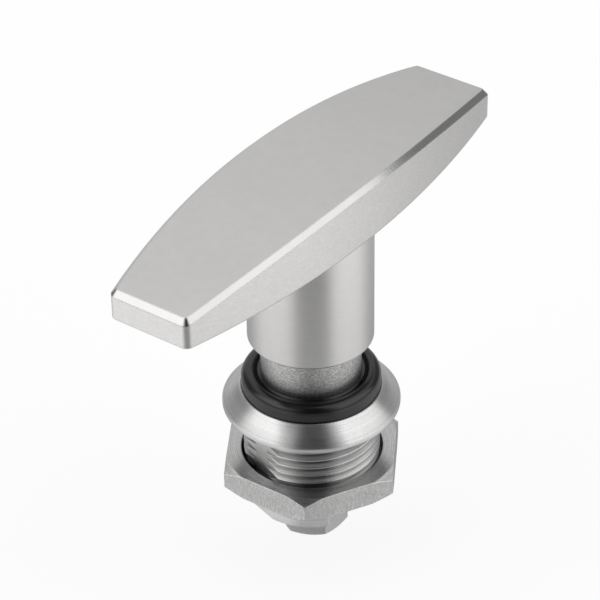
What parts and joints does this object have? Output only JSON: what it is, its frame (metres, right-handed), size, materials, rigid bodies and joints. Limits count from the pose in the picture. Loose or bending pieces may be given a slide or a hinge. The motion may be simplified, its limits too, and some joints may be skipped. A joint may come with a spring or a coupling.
{
  "type": "compression latch",
  "caption": "Stainless compression latch: T grip on a round spindle, coned panel flange, flatted thread with lock nut, drawn-in shaft for a tongue.",
  "frame": {"origin": "on the latch's axis, in the plane of the flange's underside, which is the panel's outer face", "axes": "+Z along the axis out of the panel to the grip; X and Y square to the body's four flats; grip 17 degrees from X at rest"},
  "size_m": [0.0788, 0.0364, 0.0684],
  "materials": {
    "grip_steel": "fine satin grind along the bar, turned hub",
    "cast_steel": "cast neck with a fine rough skin",
    "body_steel": "turned, rings round the cone",
    "nut_steel": "turned faces, drawn sides",
    "machined_steel": "machined",
    "fastener_steel": "plain stainless fastener",
    "spring_steel": "drawn wire",
    "slide_plastic": "natural acetal",
    "seal_rubber": "satin black nitrile"
  },
  "bodies": {
    "body": {"threaded_body": "body_steel", "shaft_seal": "seal_rubber", "panel_ring": "seal_rubber", "lock_nut": "nut_steel", "thrust_washer": "slide_plastic", "spindle_snap_ring": "spring_steel", "sleeve_snap_ring": "spring_steel"},
    "guide": {"guide_sleeve": "machined_steel"},
    "grip": {"t_grip": "grip_steel", "grub_screw": "fastener_steel", "cam_spindle": "cast_steel", "return_spring": "spring_steel"},
    "shaft": {"output_shaft": "machined_steel", "cross_pin": "machined_steel", "slip_washer": "slide_plastic", "tongue_washer": "fastener_steel", "tongue_screw": "fastener_steel"}
  },
  "joints": [
    {"name": "swing", "type": "hinge", "parent": "body", "child": "guide", "pos_m": [0, 0, 0], "axis": [0, 0, 1], "range_deg": [-17, 73]},
    {"name": "grip_turn", "type": "hinge", "parent": "guide", "child": "grip", "pos_m": [0, 0, 0], "axis": [0, 0, 1], "range_deg": [0, 90]},
    {"name": "shaft_travel", "type": "slide", "parent": "guide", "child": "shaft", "axis": [0, 0, -1], "range_m": [0, 0.006], "deforming": ["return_spring"]}
  ],
  "couplings": [
    {"joint": "grip_turn", "follows": "shaft_travel", "rad_per_m": 261.8}
  ]
}
